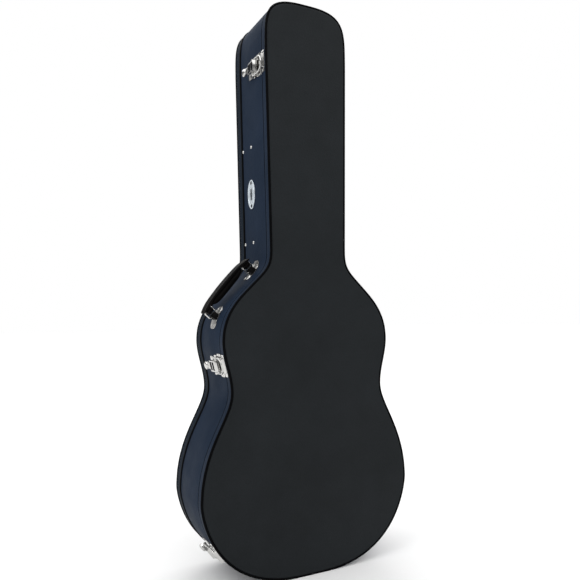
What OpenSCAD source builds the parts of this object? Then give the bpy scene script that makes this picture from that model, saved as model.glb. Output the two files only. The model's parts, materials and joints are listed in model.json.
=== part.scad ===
// Hard-shell guitar case, standing on its lower end.
// X runs across the case (+X is the hinge side), -Y is the lid, +Z is the head end.
// The origin is at the middle of the lower end, half way through the depth.

/* [Case] */
// Overall depth, lid face to back face
case_depth = 152; // [146:1:158]
// Depth of the lid rim, from the lid face to the opening seam
lid_depth = 20; // [18:1:22]
// Thickness of the plywood side wall with its covering
wall = 6.5; // [5.5:0.5:7.5]
// Thickness of the plywood lid and back panels
panel = 5; // [4:0.5:6]
// Gap at the opening seam between lid and base
seam_gap = 0.3; // [0.3:0.1:0.6]

/* [Outline] */
// Height of the case from lower end to head end
case_len = 1074; // [1060:1:1090]
// Half width of the flat at the middle of the lower end
end_flat = 24; // [18:1:30]
// Half width at the lower bout
lower_bout = 214; // [208:1:218]
// Height of the lower bout's widest point
lower_bout_z = 155; // [150:1:160]
// Half width at the waist
waist = 157; // [150:1:162]
// Height of the waist
waist_z = 341; // [336:1:346]
// Half width at the upper bout
upper_bout = 173; // [168:1:176]
// Height of the upper bout's widest point
upper_bout_z = 434; // [430:1:438]
// Half width where the shoulder turns from convex to concave
shoulder = 124; // [120:1:128]
// Height where the shoulder turns from convex to concave
shoulder_z = 527; // [523:1:531]
// Lean of the shoulder at that point, from upright
shoulder_lean = 46; // [42:1:50]
// Half width at the foot of the neck
neck = 79; // [76:1:82]
// Height of the foot of the neck
neck_z = 599; // [594:1:604]
// Half width of the head end
head = 86; // [84:1:90]
// Height where the head corner starts to round
head_z = 970; // [960:1:980]

/* [Fittings] */
// Heights of the three latches on the opening side
latch_z = [64, 390, 954];
// Heights of the two handle brackets
handle_z = [476, 562];
// Distance of the handle from the middle of the depth, towards the lid
handle_shift = 13; // [8:1:16]
// Heights of the two hinges, where both bouts touch one straight line
hinge_z = [183, 448];
// Height of the badge
badge_z = 716; // [700:1:730]
// Heights of the compartment's cross walls
cross_wall_z = [621, 809];

/* [Lining] */
// Thickness of the side padding
side_pad = 8.5; // [6:0.5:10]
// Thickness of the padding on lid and back
face_pad = 5; // [4:0.5:6]
// How far the valance stands up past the seam
valance_rise = 8; // [6:1:9]

/* [Hidden] */
$fn = 32;

front_y = -case_depth / 2;
back_y = case_depth / 2;
seam_y = front_y + lid_depth;
band_y = 50;        // middle of the heavy welt round the base
band_w = 8;         // width of that welt
cover_t = 1.5;      // thickness of the covering strip and its welt
welt = 3;           // width of the corner welts
nail_y = [5, 45];   // the cross walls' nails
plate_t = 1.3;      // thickness of the stamped fittings
run = 0.06;         // radial clearance of a turning pin
gap = 0.4;          // side clearance between moving fittings

// ---- Outline ---------------------------------------------------------------

function bezier(a, b, c, d, n) =
    [for (i = [1:n]) let (t = i / n, s = 1 - t)
        s * s * s * a + 3 * s * s * t * b + 3 * s * t * t * c + t * t * t * d];

up = [0, 1];
lean = [-sin(shoulder_lean), cos(shoulder_lean)];
p_lower = [lower_bout, lower_bout_z];
p_waist = [waist, waist_z];
p_upper = [upper_bout, upper_bout_z];
p_shoulder = [shoulder, shoulder_z];
p_neck = [neck, neck_z];
p_head = [head, head_z];
p_top = [12, case_len];

// Right half of the outline, from the lower end to the head end
half = concat(
    [[end_flat, 0]],
    bezier([end_flat, 0], [end_flat + 176, 0], p_lower - 9 * up, p_lower, 18),
    bezier(p_lower, p_lower + 95 * up, p_waist - 41 * up, p_waist, 10),
    bezier(p_waist, p_waist + 33 * up, p_upper - 33 * up, p_upper, 7),
    bezier(p_upper, p_upper + 48 * up, p_shoulder - 23 * lean, p_shoulder, 7),
    bezier(p_shoulder, p_shoulder + 51 * lean, p_neck - 33 * up, p_neck, 9),
    [p_head],
    bezier(p_head, p_head + 69 * up, p_top + [79, 0], p_top, 16));

outline = concat(half, [for (i = [len(half) - 1:-1:0]) [-half[i].x, half[i].y]]);

function unit(v) = v / norm(v);
function normal_at(i) =
    let (n = len(outline), d = unit(outline[(i + 1) % n] - outline[(i + n - 1) % n]))
    [d.y, -d.x];

// The outline moved out by d, or in where d is negative
function edge(d) = [for (i = [0:len(outline) - 1]) outline[i] + d * normal_at(i)];

width_table = [for (p = half) [p.y, p.x]];
function half_at(z) = lookup(z, width_table);
function slope_at(z) = (half_at(z + 6) - half_at(z - 6)) / 12;

// Chord between the handle brackets
chord_lo = [-half_at(handle_z[0]), handle_z[0]];
chord_hi = [-half_at(handle_z[1]), handle_z[1]];
chord_mid = (chord_lo + chord_hi) / 2;
chord_half = norm(chord_hi - chord_lo) / 2;
chord_tilt = atan2(chord_hi.x - chord_lo.x, chord_hi.y - chord_lo.y);
chord_off = 7;      // handle axis above the wall at each bracket

// Hinge line: the common tangent of the two bouts on the hinge side, moved out
hinge_tilt = 8.6;
hinge_off = 3.6;
hinge_reach = hinge_off
    + max([for (p = half) if (p.y < 600) p.x * cos(hinge_tilt) + p.y * sin(hinge_tilt)]);
function hinge_x(z) = (hinge_reach - z * sin(hinge_tilt)) / cos(hinge_tilt);

// ---- Construction helpers ---------------------------------------------------

// Extrudes an outline drawn in X and Z through the depth from y0 to y1
module through(y0, y1) {
    translate([0, y1, 0]) rotate([90, 0, 0]) linear_extrude(y1 - y0) children();
}

module slab(inset, y0, y1) {
    through(y0, y1) polygon(edge(-inset));
}

module ring(outer, inner, y0, y1) {
    through(y0, y1) difference() {
        polygon(edge(-outer));
        polygon(edge(-inner));
    }
}

// Local frame on the opening side: -X points out of the wall and Z runs up along it
module on_wall(z, y) {
    translate([-half_at(z), y, z]) rotate([0, -atan(slope_at(z)), 0]) children();
}

// Local frame on the hinge line: -X points out of the wall, Z runs up the line
module on_hinge(z) {
    mirror([1, 0, 0]) translate([-hinge_x(z), seam_y, z]) rotate([0, hinge_tilt, 0]) children();
}

// Local frame on the handle's axis, between the brackets
module on_chord() {
    translate([chord_mid.x, -handle_shift, chord_mid.y]) rotate([0, chord_tilt, 0])
        translate([-chord_off, 0, 0]) children();
}

// Extrudes a shape drawn in Y and Z outwards, from h0 to h1 above the wall
module outward(h0, h1) {
    translate([-h1, 0, 0]) rotate([90, 0, 90]) linear_extrude(h1 - h0) children();
}

module rounded(w, h, r) {
    square([w - 2 * r, h], center = true);
    square([w, h - 2 * r], center = true);
    for (x = [-1, 1], y = [-1, 1]) translate([x * (w / 2 - r), y * (h / 2 - r)]) circle(r);
}

// A sheet of thickness t that follows the side wall, from y0 to y1
module wall_sheet(t, y0, y1) {
    ring(-t, 0, y0, y1);
}

// Trims fittings to sit on the side wall, or on a sheet of thickness t that follows it
module seated(t) {
    difference() {
        children();
        slab(-t, front_y, back_y);
    }
}

// Domed rivet head of radius r, its foot at height h above the wall
module dome(r, h) {
    translate([-h, 0, 0]) rotate([0, -90, 0]) intersection() {
        translate([0, 0, -0.7 * r]) sphere(1.22 * r);
        cylinder(r = r, h = r);
    }
}

module pin(r, length) {
    cylinder(r = r, h = length, center = true);
}

// ---- Shell ------------------------------------------------------------------

module base_rim() {
    color("#333b47") difference() {
        ring(0, wall, seam_y + seam_gap / 2, back_y - panel);
        ring(-1, cover_t, band_y - band_w / 2, back_y);
    }
}

module base_panel() {
    color("#26282a") slab(welt, back_y - panel, back_y);
}

module cover_strip() {
    color("#2b313a") ring(0, cover_t, band_y + band_w / 2, back_y - panel);
}

module band_welt() {
    color("#0b0b0d") ring(0, cover_t, band_y - band_w / 2, band_y + band_w / 2);
}

module back_welt() {
    color("#0b0b0d") ring(0, welt, back_y - panel, back_y);
}

module lid_rim() {
    color("#333b47") ring(0, wall, front_y + panel, seam_y - seam_gap / 2);
}

module lid_panel() {
    color("#26282a") slab(welt, front_y, front_y + panel);
}

module lid_welt() {
    color("#0b0b0d") ring(0, welt, front_y, front_y + panel);
}

// ---- Lining -----------------------------------------------------------------

valance_foot = seam_y + 26;
valance_t = 3;
valance_gap = 0.8;
pad_inset = wall + side_pad;

module valance() {
    color("#1b1b1e") {
        ring(wall + valance_gap, wall + valance_gap + valance_t, seam_y - valance_rise, seam_y + 1);
        ring(wall, wall + valance_gap + valance_t, seam_y + 1, valance_foot);
    }
}

module side_padding() {
    color("#1b1b1e") ring(wall, pad_inset, valance_foot, back_y - panel - face_pad);
}

module floor_padding() {
    color("#1b1b1e") slab(wall, back_y - panel - face_pad, back_y - panel);
}

module lid_padding() {
    color("#1b1b1e") slab(wall + 0.5, front_y + panel, front_y + panel + face_pad);
}

floor_y = back_y - panel - face_pad;
cross_top = -19;     // top of the cross walls
cross_t = 8;         // thickness of the cross walls
cover_pin = [56, -12]; // X and Y of the compartment lid's pins

// A wall across the neck of the case, between the side paddings
module cross_block(z0, z1, y0) {
    intersection() {
        slab(pad_inset + 0.1, y0, floor_y);
        translate([-150, y0 - 1, z0]) cube([300, case_depth, z1 - z0]);
    }
}

module compartment_wall(z) {
    color("#1b1b1e") difference() {
        cross_block(z - cross_t / 2, z + cross_t / 2, cross_top);
        translate([cover_pin.x, cover_pin.y, z]) pin(1.6 + run, cross_t + 1);
    }
}

module compartment_wall_body() {
    compartment_wall(cross_wall_z[0]);
}

module compartment_wall_head() {
    compartment_wall(cross_wall_z[1]);
}

cradle_r = 31;       // radius of the cradle's notch

module neck_cradle() {
    z0 = cross_wall_z[1] + cross_t / 2;
    color("#1b1b1e") difference() {
        cross_block(z0, z0 + 42, cross_top - 21);
        translate([0, cross_top - 19, z0 - 1]) cylinder(r = cradle_r, h = 44, $fn = 64);
        translate([-cradle_r, cross_top - 40, z0 - 1]) cube([2 * cradle_r, 21, 44]);
    }
}

cover_z0 = cross_wall_z[0] + cross_t / 2 + 0.6;
cover_z1 = cross_wall_z[1] - cross_t / 2 - 0.6;

module compartment_lid() {
    color("#1b1b1e") {
        translate([-60, cover_pin.y - 4, cover_z0]) cube([120, 5.5, cover_z1 - cover_z0]);
        for (z = [cover_z0 - 4, cover_z1 - 1]) translate([cover_pin.x, cover_pin.y, z])
            cylinder(r = 1.6, h = 5);
    }
}

module compartment_tab() {
    z = (cover_z0 + cover_z1) / 2;
    color("#0b0b0d") translate([-52, cover_pin.y - 14, z - 9]) cube([1.4, 10, 18]);
}

module compartment_nails() {
    color("#d8d8da") for (z = cross_wall_z, y = nail_y) on_wall(z, y) dome(3, 0);
}

// ---- Hinges -----------------------------------------------------------------

rivet_foot = plate_t - 0.4;                // a rivet's foot before it is trimmed to its plate
knuckle_r = 3.2;
knuckle_len = 14;
hinge_pin_r = 1.5;
leaf_len = 3 * knuckle_len;
leaf_start = 3.9;                          // leaf plate's distance from the seam
leaf_end = [lid_depth - panel - 0.6, 24];  // far edge of the lid leaf and of the base leaf

// Knuckle centred at height c along the hinge line, with its web on the side s
module knuckle(c, s) {
    long = knuckle_len - gap;
    translate([0, 0, c]) {
        pin(knuckle_r, long);
        translate([-0.4, s > 0 ? 0.5 : -leaf_start - 2, -long / 2])
            cube([9, leaf_start + 1.5, long]);
    }
}

// One leaf: s is +1 for the base leaf and -1 for the lid leaf
module hinge_leaf(z, s) {
    reach = s > 0 ? leaf_end[1] : leaf_end[0];
    places = s > 0 ? [-knuckle_len, knuckle_len] : [0];
    bore = s > 0 ? hinge_pin_r : hinge_pin_r + run;
    y0 = s > 0 ? seam_y + leaf_start : seam_y - reach;
    y1 = s > 0 ? seam_y + reach : seam_y - leaf_start;
    color("#d8d8da") difference() {
        union() {
            intersection() {
                wall_sheet(plate_t, y0, y1);
                on_hinge(z) translate([0, s * (leaf_start + reach) / 2, 0]) outward(-20, 10)
                    rounded(reach - leaf_start + 6, leaf_len, 4);
            }
            on_hinge(z) for (c = places) knuckle(c, s);
        }
        slab(0, front_y, seam_y + 40);
        on_hinge(z) pin(bore, leaf_len + 2);
    }
}

module hinge_base_leaf_lower() {
    hinge_leaf(hinge_z[0], 1);
}

module hinge_base_leaf_upper() {
    hinge_leaf(hinge_z[1], 1);
}

module hinge_lid_leaf_lower() {
    hinge_leaf(hinge_z[0], -1);
}

module hinge_lid_leaf_upper() {
    hinge_leaf(hinge_z[1], -1);
}

module hinge_pins() {
    color("#d8d8da") for (z = hinge_z) on_hinge(z) {
        pin(hinge_pin_r, leaf_len);
        for (s = [-1, 1]) translate([0, 0, s * (leaf_len / 2 + 0.6)]) pin(2.4, 1.2);
    }
}

// Rivets of one leaf, on the side wall at the hinge side
module leaf_rivets(y) {
    color("#d8d8da") seated(plate_t) for (z = hinge_z, c = [-14, 0, 14])
        mirror([1, 0, 0]) on_wall(z + c, y) dome(2.1, rivet_foot);
}

module hinge_base_rivets() {
    leaf_rivets(seam_y + 16);
}

module hinge_lid_rivets() {
    leaf_rivets(seam_y - 9.5);
}

// ---- Latches ----------------------------------------------------------------
// Depths are measured from the seam: the keeper lies on the lid, the rest on the base.

pivot_y = 18;        // lever's pivot
loop_y = 32;         // pin that carries the loop
axis_h = 5;          // height of both pins above the wall
pivot_r = 1.5;
loop_r = 1.6;        // wire of the loop, and its pin
loop_half = 14.6;    // half width of the loop
lug_in = 10.6;       // inner faces of the plate's lugs
lug_t = 2;
plate_rivets = [[9.5, 18.8], [9.5, -18.8], [51, 12.8], [51, -12.8]];
// Steps of the plate: middle, length and width of each
plate_steps = [[10.7, 19.4, 43], [27, 20, 37], [45, 28, 31]];
keeper_y = -6.8;
keeper_rivet = [-5, 16.8];

module on_latch(i) {
    on_wall(latch_z[i], seam_y) children();
}

module latch_plate_shape() {
    for (s = plate_steps) translate([s[0], 0]) rounded(s[1], s[2], 4);
}

module latch_plate(i) {
    color("#d8d8da") difference() {
        union() {
            intersection() {
                wall_sheet(plate_t, seam_y, seam_y + 70);
                on_latch(i) outward(-20, 10) latch_plate_shape();
            }
            on_latch(i) for (s = [-1, 1]) translate([-axis_h, pivot_y, s * (lug_in + lug_t / 2)]) {
                pin(3.4, lug_t);
                translate([0, -3.4, -lug_t / 2]) cube([axis_h + 1, 6.8, lug_t]);
            }
        }
        slab(0, seam_y, seam_y + 70);
        on_latch(i) translate([-axis_h, pivot_y, 0]) pin(pivot_r, 40);
    }
}

module latch_plate_bottom() {
    latch_plate(0);
}

module latch_plate_waist() {
    latch_plate(1);
}

module latch_plate_head() {
    latch_plate(2);
}

module latch_pivot_pins() {
    color("#d8d8da") for (i = [0:2]) on_latch(i) translate([-axis_h, pivot_y, 0])
        pin(pivot_r, 2 * (lug_in + lug_t));
}

module latch_rivets() {
    color("#d8d8da") seated(plate_t) for (i = [0:2], p = plate_rivets)
        on_wall(latch_z[i] + p.y * cos(atan(slope_at(latch_z[i]))), seam_y + p.x)
            dome(2, rivet_foot);
}

// Side view of the lever: depth from the seam, then height above the wall
lever_side = [[15.5, 3.4], [15.5, 7.2], [17, 10.4], [20, 11.2], [36, 11], [43, 10.6], [50, 12], [58, 12.8],
    [66, 11.2], [66, 9.4], [59, 8.6], [50, 6.4], [46, 2.6], [24, 2.4], [19, 2.2]];
// Two sunk panels in the lever's top: middle and length of each, then their width and floor height
lever_panels = [[24.2, 8.6], [36, 9.6]];
panel_w = 16;
panel_floor = 8.4;

module latch_lever(i) {
    color("#d8d8da") on_latch(i) difference() {
        intersection() {
            rotate([0, 0, 90]) translate([0, 0, -lug_in + gap]) linear_extrude(2 * (lug_in - gap))
                polygon(lever_side);
            outward(0, 20) {
                translate([28.2, 0]) rounded(30, 21, 2.5);
                translate([58.4, 0]) circle(7.6);
                translate([48, 0]) square([16, 11], center = true);
            }
        }
        for (p = lever_panels) translate([-20, p[0] - p[1] / 2, -panel_w / 2])
            cube([20 - panel_floor, p[1], panel_w]);
        translate([-axis_h, pivot_y, 0]) pin(pivot_r + run, 40);
        translate([-axis_h, loop_y, 0]) pin(loop_r, 40);
    }
}

module latch_lever_bottom() {
    latch_lever(0);
}

module latch_lever_waist() {
    latch_lever(1);
}

module latch_lever_head() {
    latch_lever(2);
}

module loop_pin(i) {
    color("#d8d8da") on_latch(i) translate([-axis_h, loop_y, 0]) {
        pin(loop_r, 2 * (loop_half + 1.8));
        for (s = [-1, 1]) translate([0, 0, s * (loop_half + 2.2)]) pin(2.4, 0.8);
    }
}

module loop_pin_bottom() {
    loop_pin(0);
}

module loop_pin_waist() {
    loop_pin(1);
}

module loop_pin_head() {
    loop_pin(2);
}

bend_y = 8.8;        // where the loop's arms turn into its round end

module latch_loop(i) {
    color("#d8d8da") on_latch(i) translate([-axis_h, 0, 0]) difference() {
        union() {
            for (s = [-1, 1]) translate([0, 0, s * loop_half]) {
                translate([0, bend_y, 0]) rotate([-90, 0, 0]) cylinder(r = loop_r, h = loop_y - bend_y);
                translate([0, loop_y, 0]) pin(3, 3);
            }
            translate([0, bend_y, 0]) rotate([0, 90, 0]) rotate([0, 0, 180])
                rotate_extrude(angle = 180, $fn = 64) translate([loop_half, 0]) circle(loop_r);
        }
        translate([0, loop_y, 0]) pin(loop_r + run, 40);
    }
}

module latch_loop_bottom() {
    latch_loop(0);
}

module latch_loop_waist() {
    latch_loop(1);
}

module latch_loop_head() {
    latch_loop(2);
}

module keeper_shape() {
    difference() {
        translate([keeper_y, 0]) rounded(11.6, 41, 3);
        translate([-4, 0]) square([7.2, 25], center = true);
    }
}

module keeper(i) {
    color("#d8d8da") {
        intersection() {
            wall_sheet(plate_t, seam_y - 16, seam_y - 0.6);
            on_latch(i) outward(-20, 10) keeper_shape();
        }
        difference() {
            on_latch(i) translate([0, -10.6, 0]) outward(-3, 6.2) rounded(2.6, 26, 1.2);
            slab(0, front_y, seam_y);
        }
    }
}

module keeper_bottom() {
    keeper(0);
}

module keeper_waist() {
    keeper(1);
}

module keeper_head() {
    keeper(2);
}

module keeper_rivets() {
    color("#d8d8da") seated(plate_t) for (i = [0:2], s = [-1, 1])
        on_wall(latch_z[i] + s * keeper_rivet.y * cos(atan(slope_at(latch_z[i]))), seam_y + keeper_rivet.x)
            dome(2, rivet_foot);
}

// ---- Handle -----------------------------------------------------------------

bracket_w = 27;      // plate of a bracket: width, length and corner radius
bracket_l = 45;
bracket_corner = 10;
bracket_rivet = [16, 7];
ring_r = 1.8;        // wire of the handle rings
ring_bend = 2.6;     // bend radius of the wire
ring_out = 14;       // outer bar of a ring, from the handle's axis
ring_half = 9;       // half length of a ring, along the axis
saddle_half = 6;     // half length of a saddle, and of the leather wrapped round a ring
grip_half = 68;
grip_in = 11;        // inner and outer face of the grip, from the axis
grip_out = 26;
grip_w = 24;
roll_in = 7.5;       // inner face of the padded roll, and its width
roll_w = 20;
wrap_in = 6.2;       // inner face of the leather wrapped round a ring, and its width
wrap_w = 20;

module handle_bracket(k) {
    color("#d8d8da") intersection() {
        wall_sheet(plate_t, -handle_shift - 20, -handle_shift + 20);
        on_wall(handle_z[k], -handle_shift) outward(-20, 10) rounded(bracket_w, bracket_l, bracket_corner);
    }
}

module handle_bracket_lower() {
    handle_bracket(0);
}

module handle_bracket_upper() {
    handle_bracket(1);
}

module bracket_rivets() {
    color("#d8d8da") seated(plate_t) for (z = handle_z, s = [-1, 1], y = [-1, 1])
        on_wall(z + s * bracket_rivet.x * cos(atan(slope_at(z))), y * bracket_rivet.y - handle_shift)
            dome(2, rivet_foot);
}

// Section of a saddle: distance out from the handle's axis, then to the side
saddle_side = [[-10, -8], [-4.6, -8], [3.6, -4], [3.6, 4], [-4.6, 8], [-10, 8]];

// Saddle on the bracket's plate, in which the ring's inner bar turns
module handle_saddle(k) {
    color("#0f0f11") seated(plate_t) on_chord() translate([0, 0, (2 * k - 1) * chord_half])
        difference() {
            linear_extrude(2 * saddle_half, center = true) polygon([for (p = saddle_side) [-p.x, p.y]]);
            pin(ring_r + run, 30);
        }
}

module handle_saddle_lower() {
    handle_saddle(0);
}

module handle_saddle_upper() {
    handle_saddle(1);
}

module quarter_bend() {
    rotate_extrude(angle = 90) translate([ring_bend, 0]) circle(ring_r);
}

// A wire link: its inner bar turns in the bracket and its outer bar is held by the grip
module handle_ring(s) {
    color("#d8d8da") on_chord() translate([-ring_out / 2, 0, s * chord_half]) rotate([90, 0, 0])
        for (turn = [0, 180]) rotate([0, 0, turn]) {
            translate([ring_out / 2, 0, 0]) rotate([90, 0, 0]) pin(ring_r, 2 * (ring_half - ring_bend));
            translate([0, ring_half, 0]) rotate([0, 90, 0]) pin(ring_r, ring_out - 2 * ring_bend);
            translate([ring_out / 2 - ring_bend, ring_half - ring_bend, 0]) quarter_bend();
            mirror([0, 1, 0]) translate([ring_out / 2 - ring_bend, ring_half - ring_bend, 0]) quarter_bend();
        }
}

module handle_ring_lower() {
    handle_ring(-1);
}

module handle_ring_upper() {
    handle_ring(1);
}

// Side view of half the grip: distance out from the axis, then along it
cover_in = ring_out + ring_r + 0.2;
grip_profile = [[grip_in, 0], [grip_in, 40], [12.5, 45.4], [cover_in, 45.4],
    [cover_in, grip_half], [18.4, grip_half], [20.5, 62], [23.6, 50], [25.4, 36], [grip_out, 22],
    [grip_out, 0]];
roll_profile = [[roll_in, 0], [roll_in, 24], [9, 34], [11.5, 41], [12.5, 45.4], [20, 45.4], [20, 0]];

// A rounded bar along the handle: its inner and outer faces, width and length
module grip_bar(inner, outer, w, length) {
    translate([-(inner + outer) / 2, 0, 0]) linear_extrude(length, center = true)
        rounded(outer - inner, w, 5.8);
}

// A rounded bar trimmed to a side view of its half
module trimmed_bar(side, inner, outer, w) {
    intersection() {
        for (m = [0, 1]) mirror([0, 0, m]) translate([0, w / 2, 0]) rotate([90, 0, 0])
            linear_extrude(w) polygon([for (p = side) [-p.x, p.y]]);
        grip_bar(inner, outer, w, 2 * grip_half + 2);
    }
}

module handle_grip() {
    color("#0f0f11") on_chord() difference() {
        union() {
            trimmed_bar(grip_profile, grip_in, grip_out, grip_w);
            trimmed_bar(roll_profile, roll_in, 22, roll_w);
            for (s = [-1, 1]) translate([0, 0, s * chord_half])
                grip_bar(wrap_in, cover_in + 2.5, wrap_w, 2 * saddle_half);
        }
        for (s = [-1, 1]) translate([-ring_out / 2 - ring_r - 0.1, 0, s * chord_half])
            cube([ring_out, 2 * ring_r + 0.1, 2 * (ring_half + ring_r) + 0.2], center = true);
    }
}

// ---- Badge ------------------------------------------------------------------

badge_w = 33;
badge_h = 57;
badge_y = 7.5;

module badge_plate() {
    color("#c9c8c2") intersection() {
        wall_sheet(1.6, badge_y - badge_w, badge_y + badge_w);
        on_wall(badge_z, badge_y) outward(-5, 6) polygon([for (a = [0:7.5:352.5])
            [badge_w / 2 * cos(a), badge_h / 2 * sin(a)]]);
    }
}

module badge_pins() {
    color("#d8d8da") for (s = [-1, 1]) on_wall(badge_z + s * 23, badge_y) dome(1.6, 1.6);
}

// ---- Assembly ---------------------------------------------------------------

base_rim();
base_panel();
cover_strip();
band_welt();
back_welt();
valance();
side_padding();
floor_padding();
neck_cradle();
compartment_wall_body();
compartment_wall_head();
compartment_nails();
hinge_base_leaf_lower();
hinge_base_leaf_upper();
hinge_pins();
hinge_base_rivets();
latch_plate_bottom();
latch_plate_waist();
latch_plate_head();
latch_pivot_pins();
latch_rivets();
handle_bracket_lower();
handle_bracket_upper();
bracket_rivets();
handle_saddle_lower();
handle_saddle_upper();
badge_plate();
badge_pins();
lid_rim();
lid_panel();
lid_welt();
lid_padding();
hinge_lid_leaf_lower();
hinge_lid_leaf_upper();
hinge_lid_rivets();
keeper_bottom();
keeper_waist();
keeper_head();
keeper_rivets();
latch_lever_bottom();
latch_lever_waist();
latch_lever_head();
loop_pin_bottom();
loop_pin_waist();
loop_pin_head();
latch_loop_bottom();
latch_loop_waist();
latch_loop_head();
handle_grip();
handle_ring_lower();
handle_ring_upper();
compartment_lid();
compartment_tab();
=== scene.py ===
"""Looks of the hard-shell guitar case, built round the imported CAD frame.

Lengths named in millimetres are turned into metres by MM. Depth is Y, with the lid at -Y.
"""
import json
import math

import bmesh
import bpy
import numpy as np
from mathutils import Matrix, Vector, noise
from mathutils.geometry import delaunay_2d_cdt


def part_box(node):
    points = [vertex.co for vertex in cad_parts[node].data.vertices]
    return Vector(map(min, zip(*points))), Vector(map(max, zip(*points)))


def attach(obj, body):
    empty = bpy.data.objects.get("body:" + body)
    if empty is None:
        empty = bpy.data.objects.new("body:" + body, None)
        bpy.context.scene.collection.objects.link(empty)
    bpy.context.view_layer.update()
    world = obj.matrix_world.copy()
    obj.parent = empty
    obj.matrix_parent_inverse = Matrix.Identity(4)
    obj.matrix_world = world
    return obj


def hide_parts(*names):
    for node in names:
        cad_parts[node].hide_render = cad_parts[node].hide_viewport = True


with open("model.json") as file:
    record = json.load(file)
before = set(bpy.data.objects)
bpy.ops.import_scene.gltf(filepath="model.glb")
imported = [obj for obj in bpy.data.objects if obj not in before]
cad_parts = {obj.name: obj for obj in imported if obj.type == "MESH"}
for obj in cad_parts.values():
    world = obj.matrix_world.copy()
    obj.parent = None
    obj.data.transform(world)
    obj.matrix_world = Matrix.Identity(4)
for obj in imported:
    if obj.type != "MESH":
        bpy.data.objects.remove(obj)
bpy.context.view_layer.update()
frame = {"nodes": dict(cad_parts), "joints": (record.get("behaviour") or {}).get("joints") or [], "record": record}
MM = 0.001

# ---- Places taken from the frame -----------------------------------------------------------

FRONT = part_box("lid_panel")[0].y / MM
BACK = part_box("base_panel")[1].y / MM
LID_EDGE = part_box("lid_rim")[1].y / MM
BASE_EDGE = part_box("base_rim")[0].y / MM
SEAM = (LID_EDGE + BASE_EDGE) / 2
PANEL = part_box("lid_panel")[1].y / MM - FRONT
WELT = (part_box("lid_rim")[1].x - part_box("lid_panel")[1].x) / MM
WALL = (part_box("lid_rim")[1].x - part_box("floor_padding")[1].x) / MM
BAND = [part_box("band_welt")[i].y / MM for i in (0, 1)]
JOINTS = {joint["name"]: joint for joint in frame["joints"]}


# ---- Materials -----------------------------------------------------------------------------

class Nodes:
    """A short way to write a node tree."""

    def __init__(self, name):
        self.material = bpy.data.materials.new(name)
        self.material.use_nodes = True
        self.tree = self.material.node_tree
        self.shader = self.tree.nodes["Principled BSDF"]
        self.place = self.add("ShaderNodeTexCoord").outputs["Object"]

    def add(self, kind, **values):
        node = self.tree.nodes.new(kind)
        for key, value in values.items():
            if hasattr(node, key):
                setattr(node, key, value)
            else:
                node.inputs[key.replace("_", " ")].default_value = value
        return node

    def join(self, start, end):
        self.tree.links.new(start, end)
        return end

    def noise(self, scale, detail=3.0, roughness=0.5):
        node = self.add("ShaderNodeTexNoise", Scale=scale, Detail=detail, Roughness=roughness)
        self.join(self.place, node.inputs["Vector"])
        return node.outputs["Fac"]

    def cells(self, scale):
        node = self.add("ShaderNodeTexVoronoi", feature="SMOOTH_F1", Scale=scale, Randomness=1.0)
        self.join(self.place, node.inputs["Vector"])
        return node.outputs["Distance"]

    def ramp(self, value, low, high, out_low=0.0, out_high=1.0):
        node = self.add("ShaderNodeMapRange")
        names = ("From Min", "From Max", "To Min", "To Max")
        for key, number in zip(names, (low, high, out_low, out_high)):
            node.inputs[key].default_value = number
        self.join(value, node.inputs["Value"])
        return node.outputs["Result"]

    def maths(self, operation, a, b):
        node = self.add("ShaderNodeMath", operation=operation)
        for socket, value in zip(node.inputs, (a, b)):
            if isinstance(value, (int, float)):
                socket.default_value = value
            else:
                self.join(value, socket)
        return node.outputs[0]

    def blend(self, factor, dark, light):
        node = self.add("ShaderNodeMix", data_type="RGBA")
        self.join(factor, node.inputs["Factor"])
        node.inputs["A"].default_value = (*dark, 1)
        node.inputs["B"].default_value = (*light, 1)
        self.join(node.outputs["Result"], self.shader.inputs["Base Color"])

    def bump(self, height, distance):
        node = self.add("ShaderNodeBump", Distance=distance, Strength=1.0)
        self.join(height, node.inputs["Height"])
        self.join(node.outputs["Normal"], self.shader.inputs["Normal"])

    def set(self, **values):
        for key, value in values.items():
            self.shader.inputs[key.replace("_", " ")].default_value = value
        return self.material


def vinyl(name, dark, light, grain, depth, rough, specular):
    """Grained vinyl: pebbles of about 1 / grain metres, with soft mottling and uneven gloss.

    dark and light are the ends of its colour, and rough is its lowest and highest roughness.
    """
    n = Nodes(name)
    pebbles = n.cells(grain)
    creases = n.noise(grain * 0.45, 4.0, 0.6)
    height = n.maths("ADD", n.maths("MULTIPLY", pebbles, -0.7), creases)
    n.bump(height, depth)
    mottle = n.maths("MULTIPLY", n.noise(7.0, 4.0, 0.6), n.ramp(creases, 0.3, 0.7, 0.85, 1.15))
    n.blend(n.ramp(mottle, 0.3, 0.7), dark, light)
    n.join(n.ramp(n.noise(24.0, 5.0), 0.3, 0.7, *rough), n.shader.inputs["Roughness"])
    return n.set(Specular_IOR_Level=specular)


def metal(name, colour, rough, dents=0.00003, metallic=1.0):
    """Polished stamped metal with faint smears and an almost flat surface."""
    n = Nodes(name)
    n.bump(n.noise(160.0, 2.0), dents)
    shade = n.noise(90.0, 4.0, 0.7)
    n.blend(n.ramp(shade, 0.35, 0.7), [c * 0.86 for c in colour], colour)
    n.join(n.ramp(shade, 0.35, 0.7, *rough), n.shader.inputs["Roughness"])
    return n.set(Metallic=metallic)


def plush(name, dark, light):
    """Short pile over foam: brushed patches, soft nap and a pale sheen at grazing angles."""
    n = Nodes(name)
    nap = n.noise(1400.0, 3.0, 0.7)
    brushed = n.noise(18.0, 5.0, 0.65)
    n.bump(n.maths("ADD", nap, n.maths("MULTIPLY", brushed, 2.0)), 0.0007)
    n.blend(n.maths("ADD", n.maths("MULTIPLY", nap, 0.5), n.ramp(brushed, 0.3, 0.7, 0.0, 0.6)), dark, light)
    return n.set(Roughness=0.95, Specular_IOR_Level=0.1, Sheen_Weight=0.32, Sheen_Roughness=0.4)


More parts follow.
